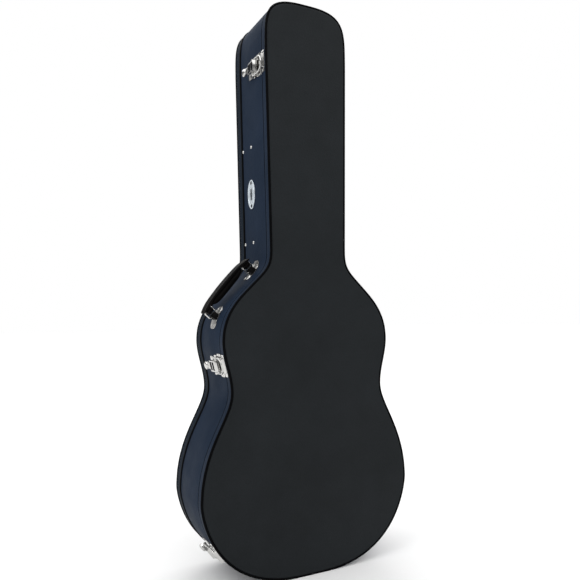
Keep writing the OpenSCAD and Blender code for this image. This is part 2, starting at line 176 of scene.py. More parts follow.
def weave(name, dark, light, pitch):
    """Plain woven ribbon or thread."""
    n = Nodes(name)
    split = n.add("ShaderNodeSeparateXYZ")
    n.join(n.place, split.inputs[0])
    warp = n.maths("SINE", n.maths("MULTIPLY", split.outputs["Z"], 2 * math.pi / pitch), 0)
    weft = n.maths("SINE", n.maths("MULTIPLY", split.outputs["Y"], 2 * math.pi / pitch), 0)
    height = n.maths("MULTIPLY", warp, weft)
    n.bump(height, pitch * 0.3)
    n.blend(n.ramp(height, -1, 1), dark, light)
    return n.set(Roughness=0.7, Specular_IOR_Level=0.25, Sheen_Weight=0.2)


SIDE = vinyl("side_vinyl", (0.0078, 0.0148, 0.0290), (0.0118, 0.0212, 0.0405),
             grain=520.0, depth=0.00036, rough=(0.52, 0.66), specular=0.04)
STRIP = vinyl("strip_vinyl", (0.0066, 0.0116, 0.0190), (0.0106, 0.0162, 0.0256),
              grain=520.0, depth=0.00036, rough=(0.52, 0.66), specular=0.04)
FACE = vinyl("panel_vinyl", (0.0082, 0.0100, 0.0112), (0.0114, 0.0136, 0.0156),
             grain=560.0, depth=0.00028, rough=(0.54, 0.62), specular=0.10)
PIPING = vinyl("piping_vinyl", (0.0010, 0.0011, 0.0014), (0.0022, 0.0023, 0.0028),
               grain=1500.0, depth=0.00006, rough=(0.42, 0.56), specular=0.025)
LEATHER = vinyl("handle_leatherette", (0.0016, 0.0014, 0.0014), (0.0040, 0.0034, 0.0034),
                grain=700.0, depth=0.0003, rough=(0.42, 0.58), specular=0.045)
NYLON = vinyl("saddle_nylon", (0.001, 0.001, 0.0011), (0.0025, 0.0025, 0.0028),
              grain=1800.0, depth=0.00004, rough=(0.45, 0.6), specular=0.06)
# Dark enamel of the badge's ornament; inside the latch levers' sunk panels the same dark is painted shade
DARK_ENAMEL_AND_SHADE = vinyl("dark_enamel_and_painted_shade", (0.006, 0.007, 0.010), (0.010, 0.012, 0.016),
            grain=2500.0, depth=0.00002, rough=(0.4, 0.55), specular=0.08)
CHROME = metal("chrome_plate", (0.63, 0.625, 0.61), (0.07, 0.17))
STEEL = metal("darkened_steel", (0.10, 0.10, 0.11), (0.3, 0.45))
PALE = metal("badge_metal", (0.74, 0.81, 0.87), (0.2, 0.34), dents=0.00002, metallic=0.55)
PLUSH = plush("plush_lining", (0.010, 0.010, 0.012), (0.030, 0.030, 0.034))
RIBBON = weave("ribbon_weave", (0.006, 0.006, 0.007), (0.018, 0.018, 0.02), 0.0012)
THREAD = weave("stitch_thread", (0.010, 0.012, 0.016), (0.028, 0.032, 0.040), 0.0006)
BLACK_THREAD = weave("black_thread", (0.004, 0.004, 0.004), (0.014, 0.014, 0.015), 0.0006)


# ---- Outline -------------------------------------------------------------------------------

def cap_loop(node, depth):
    """The points, in order, round the flat face of a CAD node at that depth."""
    mesh = frame["nodes"][node].data
    step = {}
    for face in mesh.polygons:
        places = [mesh.vertices[i].co for i in face.vertices]
        if all(abs(p.y - depth * MM) < 1e-5 for p in places):
            keys = [(round(p.x * 1e5), round(p.z * 1e5)) for p in places]
            for a, b in zip(keys, keys[1:] + keys[:1]):
                step[(a, b)] = True
    follow = {a: b for a, b in step if (b, a) not in step}
    start = max(follow)
    loop = [start]
    while follow[loop[-1]] != start:
        loop.append(follow[loop[-1]])
    return np.array(loop, float) / 100.0


def resample(loop, spacing):
    """Points evenly spaced along a closed line."""
    closed = np.vstack([loop, loop[:1]])
    length = np.concatenate([[0], np.cumsum(np.linalg.norm(np.diff(closed, axis=0), axis=1))])
    places = np.linspace(0, length[-1], int(round(length[-1] / spacing)), endpoint=False)
    return np.column_stack([np.interp(places, length, closed[:, i]) for i in (0, 1)])


def outward_normals(loop):
    along = np.roll(loop, -1, 0) - np.roll(loop, 1, 0)
    along /= np.linalg.norm(along, axis=1)[:, None]
    normal = np.column_stack([along[:, 1], -along[:, 0]])
    area = np.sum(loop[:, 0] * np.roll(loop[:, 1], -1) - np.roll(loop[:, 0], -1) * loop[:, 1])
    return normal * np.sign(area)


def smooth_outline():
    """The case's outline at points 4 mm apart, with the CAD's short straights rounded off."""
    fine = resample(cap_loop("lid_panel", FRONT), 1.0)
    reach = 5
    shifts = range(-2 * reach, 2 * reach + 1)
    weights = np.exp(-0.5 * (np.array(shifts) / reach) ** 2)
    weights /= weights.sum()
    fine = sum(weight * np.roll(fine, shift, 0) for weight, shift in zip(weights, shifts))
    fine = resample(fine, 4.0)
    return fine + outward_normals(fine) * WELT


OUTLINE = smooth_outline()
NORMALS = outward_normals(OUTLINE)
COUNT = len(OUTLINE)


# ---- Mesh helpers --------------------------------------------------------------------------

def finish_piece(name, bm, material, body, nodes=(), sharp=35.0):
    """Turns a bmesh in millimetres into a shaded piece that rides on its body."""
    bmesh.ops.recalc_face_normals(bm, faces=bm.faces)
    mesh = bpy.data.meshes.new(name)
    bm.to_mesh(mesh)
    bm.free()
    mesh.transform(Matrix.Scale(MM, 4))
    mesh.polygons.foreach_set("use_smooth", [True] * len(mesh.polygons))
    mesh.set_sharp_from_angle(angle=math.radians(sharp))
    for one in material if isinstance(material, (list, tuple)) else [material]:
        mesh.materials.append(one)
    piece = bpy.data.objects.new(name, mesh)
    bpy.context.scene.collection.objects.link(piece)
    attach(piece, body)
    if nodes:
        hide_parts(*nodes)
    return piece


def bridge(bm, rows):
    """Joins rings of vertices, each to the next, with a band of faces."""
    for a, b in zip(rows, rows[1:]):
        for i in range(len(a)):
            j = (i + 1) % len(a)
            bm.faces.new((a[i], a[j], b[j], b[i]))


def capped(bm, rows):
    """Joins rings of vertices into a closed form."""
    bridge(bm, rows)
    bm.faces.new(rows[0])
    bm.faces.new(rows[-1])


def turn(steps):
    """Angles evenly spaced round a circle."""
    return np.linspace(0, 2 * math.pi, steps, endpoint=False)


def arc(centre, radius, start, end, steps):
    """Points of an arc in a profile, by angles in degrees: 0 points out of the case, 90 points back."""
    angles = np.radians(np.linspace(start, end, steps + 1))
    return [(centre[0] + radius * math.cos(a), centre[1] + radius * math.sin(a)) for a in angles]


def sweep_into(bm, profile, closed=True):
    """Sweeps a profile of (distance out of the wall, depth) round the outline.

    Where the case stands on its lower end, the piping is pressed flat at floor level.
    """
    rows = []
    for out, depth in profile:
        line = OUTLINE + NORMALS * out
        rows.append([bm.verts.new((x, depth, max(z, 0.0))) for x, z in line])
    bridge(bm, rows + rows[:1] if closed else rows)
    return rows


def swept(name, profile, material, body, nodes=(), sharp=35.0, second=(), third=()):
    """A closed profile swept round the case; second and third list the strips in those materials."""
    bm = bmesh.new()
    sweep_into(bm, profile)
    for number, face in enumerate(bm.faces):
        strip = number // COUNT
        face.material_index = 1 if strip in second else 2 if strip in third else 0
    return finish_piece(name, bm, material, body, nodes, sharp)


def plate(name, front, back, material, body, nodes):
    """A closed panel: front and back are profiles that run inwards, and each is filled flat."""
    bm = bmesh.new()
    rows = sweep_into(bm, list(reversed(front)) + list(back), closed=False)
    bm.faces.new(rows[0])
    bm.faces.new(rows[-1])
    return finish_piece(name, bm, material, body, nodes)


def polished(node, material, body, width, sunk=None):
    """A CAD fitting with its edges rounded over by width, in millimetres.

    Faces whose middle the function sunk picks out take the second of two materials.
    """
    bm = bmesh.new()
    bm.from_mesh(frame["nodes"][node].data)
    bmesh.ops.scale(bm, vec=(1 / MM,) * 3, verts=bm.verts)
    bmesh.ops.remove_doubles(bm, verts=bm.verts, dist=0.004)
    bmesh.ops.dissolve_limit(bm, angle_limit=math.radians(1.5), verts=bm.verts, edges=bm.edges)
    if width:
        edges = [e for e in bm.edges if len(e.link_faces) == 2 and e.calc_face_angle() > math.radians(38)]
        bmesh.ops.bevel(bm, geom=edges, offset=width, segments=2, profile=0.6, affect="EDGES",
                        clamp_overlap=True)
    if sunk:
        for face in bm.faces:
            face.material_index = int(sunk(face.calc_center_median()))
    return finish_piece(node + "_finish", bm, material, body, [node], sharp=30.0)


# ---- Shell ---------------------------------------------------------------------------------

EDGE_STRIPS = range(1, 9)     # strips of a wall's section that its black edge binding covers
LINED_STRIP = (9,)            # the strip on the inside of the lid's wall
STITCH_LINE = BACK - 9.0
PIPE = 2.35                   # radius of the piping beside each panel
PIPE_DEEP = 2.5               # its middle, from the panel's face
PIPE_IN = 0.95                # and from the wall


def rim_profile(edge, end, sign, round_over=1.3):
    """A wall's section from its rounded edge at the seam to its far end."""
    outer = arc((-round_over, edge + sign * round_over), round_over, 0, -90 * sign, 5)
    inner = arc((-WALL + 1, edge + sign), 1, -90 * sign, -180 * sign, 3)
    return outer, inner, [(-WALL, end)]


def base_shell():
    outer, inner, foot = rim_profile(BASE_EDGE, BACK - PANEL, 1)
    step = [(-2.4, BACK - PANEL), (-2.4, BAND[0] + 1.2)]
    lip = arc((-1.2, BAND[0] - 1.2), 1.2, 90, 0, 4)
    swept("base_wall", outer + inner + foot + step + lip, (SIDE, PIPING), "base",
          ["base_rim"], second=EDGE_STRIPS)


def lid_shell():
    outer, inner, foot = rim_profile(LID_EDGE, FRONT + PANEL, -1)
    swept("lid_wall", outer + inner + foot + [(0.0, FRONT + PANEL)], (SIDE, PIPING, PLUSH), "lid",
          ["lid_rim"], second=EDGE_STRIPS, third=LINED_STRIP)


def covering_strip():
    """The vinyl strip behind the heavy welt, drawn in along its row of stitches."""
    depths = np.linspace(BAND[1] - 0.6, BACK - PANEL + 1.5, 22)
    pull = 0.55 * np.exp(-0.5 * ((depths - STITCH_LINE) / 0.9) ** 2)
    fall = 1.3 * np.exp(-((depths - BAND[1] + 0.6) / 1.1) ** 2)
    outer = [(0.15 - p - f, y) for p, f, y in zip(pull, fall, depths)]
    inner = [(-2.2, depths[-1]), (-2.2, depths[0])]
    swept("cover_band", outer + inner, STRIP, "base", ["cover_strip"], 60.0)


def bead(name, depth, body, node):
    """A round piping cord that runs round the case."""
    swept(name, arc((-PIPE_IN, depth), PIPE, 0, 345, 23), PIPING, body, [node], 60.0)


def heavy_welt():
    """The thick half-round welt round the base."""
    middle = (BAND[0] + BAND[1]) / 2
    half = (BAND[1] - BAND[0]) / 2 - 0.1
    top = [(-1.9 + 3.6 * math.cos(a) ** 0.8, middle + half * math.sin(a))
           for a in np.linspace(-1.5, 1.5, 17)]
    swept("heavy_welt", top + [(-2.3, middle + half - 0.3), (-2.3, middle - half + 0.3)],
          PIPING, "base", ["band_welt"], 60.0)


def stitches(name, path, lift, material, body, pitch=5.2, length=3.6, radius=0.42, closed=False):
    """A row of thread stitches along a path, each half sunk in the covering below it.

    lift gives the direction away from the covering, one for the whole path or one per point.
    """
    path = np.array(path, float)
    lift = np.broadcast_to(np.array(lift, float), path.shape)
    if closed:
        path, lift = (np.vstack([v, v[:1]]) for v in (path, lift))
    far = np.concatenate([[0], np.cumsum(np.linalg.norm(np.diff(path, axis=0), axis=1))])
    count = int(far[-1] / pitch)
    rings = [(-0.5, 0.35), (-0.42, 0.85), (0.0, 1.0), (0.42, 0.85), (0.5, 0.35)]

    def at(place, values):
        return np.column_stack([np.interp(place, far, values[:, i]) for i in range(3)])

    bm = bmesh.new()
    for k in range(count):
        places = far[-1] * (k + 0.5) / count + np.array([shift for shift, _ in rings]) * length
        points, raised = at(places, path), at(places, lift)
        along = Vector(points[-1] - points[0]).normalized()
        rows = []
        for (shift, size), point, away in zip(rings, points, raised):
            away = Vector(away).normalized()
            side = along.cross(away)
            middle = Vector(point) - away * (0.25 if abs(shift) == 0.5 else 0.0)
            rows.append([bm.verts.new(middle + (side * math.cos(a) + away * math.sin(a)) * radius * size)
                         for a in turn(6)])
        capped(bm, rows)
    return finish_piece(name, bm, material, body, sharp=80.0)


def round_case(values, depth):
    """Points in X and Z, given a depth."""
    return np.column_stack([values[:, 0], np.full(len(values), depth), values[:, 1]])


def panels():
    """Lid and back panels, whose covering rolls over the edge beside the piping."""
    for name, node, face, sign, body in (
            ("lid_face", "lid_panel", FRONT, 1, "lid"), ("back_face", "base_panel", BACK, -1, "base")):
        roll = [(-2.2, face + sign * 3.4)]
        roll += [(-2.4 - 3.6 * (1 - math.cos(a)), face + sign * 2.6 * (1 - math.sin(a)))
                 for a in np.linspace(0, math.pi / 2, 8)]
        roll += [(-8.0, face), (-14.0, face)]
        under = [(-2.2, face + sign * (PANEL - 0.2)), (-3.2, face + sign * PANEL),
                 (-8.0, face + sign * PANEL)]
        plate(name, roll, under, FACE, body, [node])


base_shell()
lid_shell()
covering_strip()
heavy_welt()
bead("lid_piping", FRONT + PIPE_DEEP, "lid", "lid_welt")
bead("back_piping", BACK - PIPE_DEEP, "base", "back_welt")
stitches("strip_stitches", round_case(OUTLINE, STITCH_LINE), round_case(NORMALS, 0.0), THREAD, "base",
         closed=True)
panels()


# ---- Fittings ------------------------------------------------------------------------------

EDGE_ROUND = 0.7              # rounding of stamped edges
KNOB_REACH = 40.4             # from a latch lever's pivot to the middle of its knob
# The knob's dome, by radius and by height above the pivot
KNOB = ((7.2, 4.6), (7.7, 6.0), (7.75, 7.0), (7.4, 8.0), (6.6, 8.9), (5.2, 9.7), (3.4, 10.2), (1.3, 10.4))
# The faces inside a lever's two sunk panels are painted dark as shade
SUNK_HEIGHT = (3.0, 5.6)      # a lever's two sunk panels: how far they are above its pivot,
SUNK_HALF = 8.1               # how far they reach to each side,
SUNK_ALONG = ((1.8, 10.6), (13.1, 22.9))    # and where each starts and ends along the lever


def fittings():
    """Chrome and nylon pieces, each with the edge rounding that its stamping or moulding has."""
    bodies = frame["record"]["behaviour"]["bodies"]
    for body, nodes in bodies.items():
        for node in nodes:
            slot = next(p["material_slot"] for p in frame["record"]["subparts"] if p["node"] == node)
            thin = any(word in node for word in ("ring", "pin", "rivet", "nail", "loop"))
            if slot == "saddle_plastic":
                polished(node, NYLON, body, 0.6)
            elif slot == "chrome" and node.startswith("latch_lever"):
                lever(node, body)
            elif slot == "chrome":
                material = STEEL if node == "badge_pins" else CHROME
                polished(node, material, body, 0.0 if thin else EDGE_ROUND)


def lever(node, body):
    """A latch lever: bright frame, two sunk panels whose insides are painted dark as shade, and a domed knob at
    its free end.
    """
    joint = JOINTS[node + "_pivot"]
    pivot = Vector(joint["pos_m"]) / MM
    along = Vector(joint["axis"]).normalized()
    away = Vector((-abs(along.z), 0, along.x * math.copysign(1, along.z)))

    # Picks the faces inside the sunk panels, which take the dark material as painted shade
    def in_shaded_panel(place):
        reach = place - pivot
        inside = SUNK_HEIGHT[0] < reach.dot(away) < SUNK_HEIGHT[1] and abs(reach.dot(along)) < SUNK_HALF
        return inside and any(start < reach.y < end for start, end in SUNK_ALONG)

    polished(node, (CHROME, DARK_ENAMEL_AND_SHADE), body, EDGE_ROUND, in_shaded_panel)
    bm = bmesh.new()
    middle = pivot + Vector((0, KNOB_REACH, 0))
    capped(bm, [[bm.verts.new(middle + away * height + along * radius * math.cos(a)
                              + Vector((0, radius * math.sin(a), 0))) for a in turn(40)]
                for radius, height in KNOB])
    finish_piece(node.replace("latch_lever", "latch_knob"), bm, CHROME, body, sharp=60.0)


fittings()


# ---- Handle --------------------------------------------------------------------------------

PIVOT = Vector(JOINTS["handle_pivot"]["pos_m"]) / MM
ALONG = Vector(JOINTS["handle_pivot"]["axis"]).normalized()
OUTWARD = Vector((-ALONG.z, 0, ALONG.x))


def on_handle(along, out, aside):
    """A point by its distances along the handle's axis, out from it and to the side."""
    return PIVOT + ALONG * along + OUTWARD * out + Vector((0, aside, 0))


def ring_places():
    """How far along the handle's axis each of its rings is."""
    for node in ("handle_ring_lower", "handle_ring_upper"):
        low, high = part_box(node)
        yield ((low + high) / 2 / MM - PIVOT).dot(ALONG)


def section(inner, outer, half, radius):
    """A rounded rectangle as pairs of out and aside."""
    radius = min(radius, (outer - inner) / 2 - 0.01, half - 0.01)
    corners = [(outer - radius, half - radius, 0), (inner + radius, half - radius, 90),
               (inner + radius, radius - half, 180), (outer - radius, radius - half, 270)]
    points = []
    for out, aside, start in corners:
        for a in np.radians(np.linspace(start, start + 90, 5)):
            points.append((out + radius * math.cos(a), aside + radius * math.sin(a)))
    return points


def loft(name, stations, material, body, nodes=()):
    """Joins rounded sections at stations of along, inner, outer, half width and corner radius."""
    bm = bmesh.new()
    capped(bm, [[bm.verts.new(on_handle(along, *place)) for place in section(*shape)]
                for along, *shape in stations])
    return finish_piece(name, bm, material, body, nodes, 50.0)


GRIP_PAST_RING = 11.2         # how far the grip runs on past the middle of each ring
ROLL_HALF = 44.7              # half the length of the padded roll


def handle():
    """A stitched leather band over a padded roll, whose ends wrap round the two rings.

    t is the distance along the handle's axis from its middle.
    """
    lower, upper = ring_places()
    end = upper + GRIP_PAST_RING

    def top(t):
        return float(np.interp(abs(t), [0, 12, 24, 36, 44, 50, 56, 62, end - 0.7, end],
                               [25.9, 25.75, 25.3, 24.7, 24.0, 23.1, 21.9, 20.3, 18.5, 18.1]))

    def underside(t):
        return float(np.interp(abs(t), [40, 47, end - 2, end], [20.2, 16.3, 16.3, 16.6]))

    def width(t):
        return float(np.interp(abs(t), [50, end - 3, end - 1, end], [12, 11.6, 10.4, 8.4]))

    half = [*np.linspace(0, 48, 13), *np.linspace(50, end - 3, 8), end - 2, end - 1, end - 0.4, end]
    places = sorted({round(side * t, 3) for side in (-1, 1) for t in half})
    loft("grip_cover", [(t, underside(t), top(t), width(t), 1.5) for t in places], LEATHER, "handle",
         ["handle_grip"])

    roll = []
    for t in np.sin(np.linspace(-math.pi / 2, math.pi / 2, 41)) * (ROLL_HALF - 0.1):
        full = (1 - abs(t / ROLL_HALF) ** 6) ** 0.45
        roll.append((float(t), 21.0 - 13.4 * full, 21.4, 3.5 + 6.4 * full, 6.0 * full + 0.2))
    loft("grip_roll", roll, LEATHER, "handle")

    ends = ((-6.0, 1.2), (-5.3, 0.2), (-3.5, 0.0), (3.5, 0.0), (5.3, 0.2), (6.0, 1.2))
    for name, ring in (("lower", lower), ("upper", upper)):
        wrap = [(ring + along, 6.2 + draw, 17.5, 10.0 - draw, 5.5) for along, draw in ends]
        loft(f"grip_wrap_{name}", wrap, LEATHER, "handle")

    for name, side in (("front", -1), ("back", 1)):
        row = [on_handle(t, top(t) + 0.05, side * (width(t) - 2.4))
               for t in np.linspace(3 - end, end - 3, 60)]
        stitches(f"grip_stitches_{name}", row, OUTWARD, BLACK_THREAD, "handle",
                 pitch=3.4, length=2.5, radius=0.36)


handle()


# ---- Badge ---------------------------------------------------------------------------------

PIN_REACH = 23.0              # from the badge's middle to each of its pins
BADGE_FACE = 1.0              # just below the plate's face, where the ornament's parts start
# The ornament's rings, by outer radius, inner radius and height up the badge: one in the middle
# and a washer round each pin
BADGE_RINGS = ((5.2, 4.2, 0), (3.5, 1.0, PIN_REACH), (3.5, 1.0, -PIN_REACH))
RING_FACE, STRING_FACE = 1.24, 1.3          # how far the rings and the strings stand out
STRINGS, STRING_PITCH, STRING_HALF = 6, 1.2, 0.18
# The badge's ovals from its outer edge inwards, by share of its size and by height
BADGE_RIM = ((0.985, 0.0), (1.0, 0.4), (1.0, 1.15), (0.985, 1.45), (0.955, 1.58), (0.925, 1.45),
             (0.905, 1.1), (0.80, 1.1), (0.79, 0.85), (0.765, 0.85), (0.755, 1.1), (0.02, 1.1))


def badge_places():
    """A function that gives points on the badge, and half of the badge's width and length.

    The function takes the distances across the badge, up along it and out of the wall.
    """
    low, high = (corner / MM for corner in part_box("badge_plate"))
    middle, reach = (low + high) / 2, (high - low) / 2
    near = OUTLINE[:, 0] < 0
    points, normals = OUTLINE[near], NORMALS[near]
    pick = int(np.argmin(abs(points[:, 1] - middle.z)))
    away = Vector((normals[pick][0], 0, normals[pick][1]))
    up = Vector((away.z, 0, -away.x))
    foot = Vector((points[pick][0], 0, points[pick][1]))
    foot += up * ((middle.z - foot.z) / up.z)

    def place(across, rise, height):
        return foot + up * rise + Vector((0, middle.y + across, 0)) + away * height

    return place, reach.y, reach.z


def badge_disc(place, half_width, half_length):
    """A pale oval plate with a raised rim."""
    bm = bmesh.new()
    rows = []
    for size, height in BADGE_RIM:
        across, tall = half_width * size, half_length * size
        rows.append([bm.verts.new(place(across * math.cos(a), tall * math.sin(a), height))
                     for a in turn(72)])
    capped(bm, rows)
    finish_piece("badge_disc", bm, PALE, "base", ["badge_plate"], 28.0)


def badge_ornament(place):
    """Plain dark rings, and upright strings that are longest in the middle."""
    bm = bmesh.new()
    for outer, inner, rise in BADGE_RINGS:
        edges = ((outer, BADGE_FACE), (outer, RING_FACE), (inner, RING_FACE), (inner, BADGE_FACE))
        rows = [[bm.verts.new(place(radius * math.cos(a), rise + radius * math.sin(a), height))
                 for a in turn(40)] for radius, height in edges]
        bridge(bm, rows + rows[:1])
    for number in range(STRINGS):
        off_middle = number - (STRINGS - 1) / 2
        across, half_length = off_middle * STRING_PITCH, 12.0 - 0.5 * abs(off_middle)
        corners = ((-STRING_HALF, -1), (STRING_HALF, -1), (STRING_HALF, 1), (-STRING_HALF, 1))
        capped(bm, [[bm.verts.new(place(across + aside, side * half_length, height))
                     for aside, side in corners] for height in (BADGE_FACE, STRING_FACE)])
    finish_piece("badge_ornament", bm, DARK_ENAMEL_AND_SHADE, "base")


def badge():
    """The badge's plate and its ornament."""
    place, half_width, half_length = badge_places()
    badge_disc(place, half_width, half_length)
    badge_ornament(place)


badge()


# ---- Lining --------------------------------------------------------------------------------

def bulged(start, end, pad, rise, steps=12):
    """Profile points from start to end, swelling by rise towards the inside of the case."""
    points = []
    for t in np.linspace(0, 1, steps + 1):
        swell = rise * (1 - abs(2 * t - 1) ** 5)
        out, depth = (a + (b - a) * t for a, b in zip(start, end))
        points.append((out - pad - swell, depth))
    return points


def valance():
    """The padded lip that stands up from the base into the lid."""
    low, high = (corner.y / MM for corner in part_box("valance"))
    lip = arc((-WALL - 2.3, low + 1.5), 1.5, 0, -180, 8)
    inside = bulged((-WALL, low + 4), (-WALL, high), 3.55, 0.25)
    swept("valance_lip", lip + inside + [(-WALL, high), (-WALL, SEAM + 1.6), (-WALL - 0.8, SEAM + 0.6)],
          PLUSH, "base", ["valance"], 50.0)


def side_pad():
    """The padding round the inside of the base's wall."""
    low, high = (corner.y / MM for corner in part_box("side_padding"))
    inside = bulged((-WALL, low + 0.4), (-WALL, high - 0.2), 6.5, 1.9, 18)
    swept("side_pad", [(-WALL, low + 0.2)] + inside + [(-WALL, high)], PLUSH, "base",
                    ["side_padding"], 60.0)


def distance(line, points):
    """From each point to the nearest point of a line."""
    return np.min(np.linalg.norm(points[:, None] - line[None], axis=2), axis=1)


def within(line, points):
    """Which points are inside a closed line, by counting the sides that lie beyond each."""
    start, end = line[None], np.roll(line, -1, 0)[None]
    x, z = points[:, None, 0], points[:, None, 1]
    crosses = (start[..., 1] > z) != (end[..., 1] > z)
    rise = np.where(end[..., 1] == start[..., 1], 1.0, end[..., 1] - start[..., 1])
    cut = (end[..., 0] - start[..., 0]) * (z - start[..., 1]) / rise + start[..., 0]
    return np.sum(crosses & (x < cut), axis=1) % 2 == 1


EDGE_SPACING, GRID_SPACING = 9.0, 13.0      # between the points round a flat pad, and inside it
EDGE_CLEAR = 6.0              # between its edge and the nearest point inside
EDGE_FALL, WAVE = 1.7, 0.35   # how deep its open face falls away at the edge, and how deep it waves


def sheet_pad(name, node, body, inset, bare, soft):
    """A thin pad over a panel: bare is the depth of its glued face and soft that of its open face.

    Its points are the outline drawn in by inset and a staggered grid inside that.
    """
    edge = resample(OUTLINE - NORMALS * inset, EDGE_SPACING)
    xs, zs = (np.arange(a + 7, b, GRID_SPACING) for a, b in zip(edge.min(0), edge.max(0)))
    grid = np.array([(x + row % 2 * GRID_SPACING / 2, z) for row, z in enumerate(zs) for x in xs])
    grid = grid[within(edge, grid) & (distance(edge, grid) > EDGE_CLEAR)]
    points = [Vector(p) for p in np.vstack([edge, grid])]
    border = [(i, (i + 1) % len(edge)) for i in range(len(edge))]
    made = delaunay_2d_cdt(points, border, [], 1, 0.01)
    flat, faces = np.array([tuple(p) for p in made[0]]), made[2]
    gap = distance(edge, flat)
    wave = np.array([noise.noise(Vector((x * 0.011, z * 0.011, 0.3))) for x, z in flat])
    drop = EDGE_FALL * np.exp(-gap / 7.0) + WAVE * (0.5 + 0.5 * wave) * (1 - np.exp(-gap / 20.0))
    depth = soft + np.sign(bare - soft) * drop
    bm = bmesh.new()
    top = [bm.verts.new((x, y, z)) for (x, z), y in zip(flat, depth)]
    for face in faces:
        bm.faces.new([top[i] for i in face])
    rim = [e for e in bm.edges if len(e.link_faces) == 1]
    for kind in bmesh.ops.extrude_edge_only(bm, edges=rim)["geom"]:
        if isinstance(kind, bmesh.types.BMVert):
            kind.co.y = bare
    bottom = [e for e in bm.edges if len(e.link_faces) == 1]
    bmesh.ops.contextual_create(bm, geom=bottom)
    finish_piece(name, bm, PLUSH, body, [node], 60.0)


def limited(points, start, cap):
    """Points moved from start by no more than cap."""
    move = points - start
    far = np.maximum(np.linalg.norm(move, axis=1), 1e-9)
    return start + move * np.minimum(1.0, cap / far)[:, None]


DRAWN_IN = 1.6                # how far a block's faces start inside the CAD's
MOST_SWELL = 2.2              # and how far cloth pressure may move them


def applied(piece):
    """Bakes a piece's modifiers into its mesh."""
    graph = bpy.context.evaluated_depsgraph_get()
    mesh = bpy.data.meshes.new_from_object(piece.evaluated_get(graph), depsgraph=graph)
    piece.modifiers.clear()
    piece.data = mesh


def read(piece, kind):
    """The vertices' "co" or "normal", with a row for each."""
    values = np.empty(len(piece.data.vertices) * 3)
    piece.data.vertices.foreach_get(kind, values)
    return values.reshape(-1, 3)


def put(piece, points):
    """Moves the vertices of a piece to these points."""
    piece.data.vertices.foreach_set("co", points.ravel())
    piece.data.update()


def foam_block(name, node, voxel):
    """A CAD foam block remeshed with voxels of that many millimetres."""
    bm = bmesh.new()
    bm.from_mesh(frame["nodes"][node].data)
    bmesh.ops.remove_doubles(bm, verts=bm.verts, dist=1e-5)
    bmesh.ops.dissolve_limit(bm, angle_limit=math.radians(2), verts=bm.verts, edges=bm.edges)
    bmesh.ops.triangulate(bm, faces=bm.faces)
    mesh = bpy.data.meshes.new(name)
    bm.to_mesh(mesh)
    bm.free()
    piece = bpy.data.objects.new(name, mesh)
    bpy.context.scene.collection.objects.link(piece)
    remesh = piece.modifiers.new("remesh", "REMESH")
    remesh.mode = "VOXEL"
    remesh.voxel_size = voxel * MM
    applied(piece)
    return piece


def swell(piece):
    """Blows a piece up by cloth pressure, with no point moved further than MOST_SWELL."""
    start = read(piece, "co")
    cloth = piece.modifiers.new("cloth", "CLOTH")
    cloth.settings.use_pressure = True
    cloth.settings.uniform_pressure_force = 4.0
    cloth.settings.effector_weights.gravity = 0.0
    cloth.settings.quality = 5
    for step in range(1, 21):
        bpy.context.scene.frame_set(step)
    applied(piece)
    put(piece, limited(read(piece, "co"), start, MOST_SWELL * MM))
    bpy.context.scene.frame_set(1)


def stuffed(name, node, body, voxel):
    """A CAD foam block made soft: remeshed, drawn in, swollen by cloth pressure and smoothed."""
    piece = foam_block(name, node, voxel)
    put(piece, read(piece, "co") - read(piece, "normal") * DRAWN_IN * MM)
    swell(piece)
    piece.modifiers.new("round", "SUBSURF").levels = 1
    applied(piece)
    piece.data.polygons.foreach_set("use_smooth", [True] * len(piece.data.polygons))
    piece.data.materials.clear()
    piece.data.materials.append(PLUSH)
    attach(piece, body)
    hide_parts(node)


def pull_tab():
    """A folded ribbon: up from the compartment lid, over in a loop and down again."""
    low, high = (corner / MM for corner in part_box("compartment_tab"))
    middle, half = (low + high) / 2, (high.z - low.z) / 2
    top, foot, spread = low.y + 0.9, high.y, (high.x - low.x) / 2 + 0.25
    line = [(-spread, foot), (-spread * 1.15, (top + foot) / 2)]
    line += [(-spread * math.cos(a), top - 0.7 * math.sin(a)) for a in np.linspace(0, math.pi, 9)]
    line += [(spread * 1.15, (top + foot) / 2), (spread, foot)]
    bm = bmesh.new()
    top_row = len(line) // 2
    rows = [[bm.verts.new((middle.x + x, y, middle.z + side * half * (1 - 0.02 * abs(k - top_row))))
             for side in np.linspace(-1, 1, 9)] for k, (x, y) in enumerate(line)]
    for a, b in zip(rows, rows[1:]):
        for i in range(len(a) - 1):
            bm.faces.new((a[i], a[i + 1], b[i + 1], b[i]))
    piece = finish_piece("ribbon_tab", bm, RIBBON, "compartment_cover", ["compartment_tab"], 80.0)


def lining():
    """Every soft piece inside the case."""
    valance()
    side_pad()
    soft, bare = (corner.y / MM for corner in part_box("floor_padding"))
    sheet_pad("floor_pad", "floor_padding", "base", WALL + 0.4, bare, soft)
    bare, soft = (corner.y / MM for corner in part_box("lid_padding"))
    sheet_pad("lid_pad", "lid_padding", "lid", WALL + 0.9, bare, soft)
    stuffed("cradle_pad", "neck_cradle", "base", 5.0)
    stuffed("wall_pad_body", "compartment_wall_body", "base", 4.0)
    stuffed("wall_pad_head", "compartment_wall_head", "base", 4.0)
    stuffed("compartment_lid_pad", "compartment_lid", "compartment_cover", 4.0)
    pull_tab()


lining()


# ---- Stage, light and camera ---------------------------------------------------------------

SKY = ((0.0, 1.0), (0.42, 0.8), (0.5, 0.6), (0.57, 0.45), (0.65, 0.22), (0.705, 0.1), (0.735, 1.5),
       (1.0, 1.9))
# Each lamp's name, place, target, size and power
LAMPS = (("key", (-2.4, -1.4, 2.6), (0, 0, 0.8), (1.2, 1.6), 13),
         ("fill", (1.8, -2.6, 2.2), (0, 0, 0.5), (2, 1.6), 8),
         ("rim", (1.6, 2.4, 2.2), (0, 0, 0.6), (1.5, 1.5), 18))


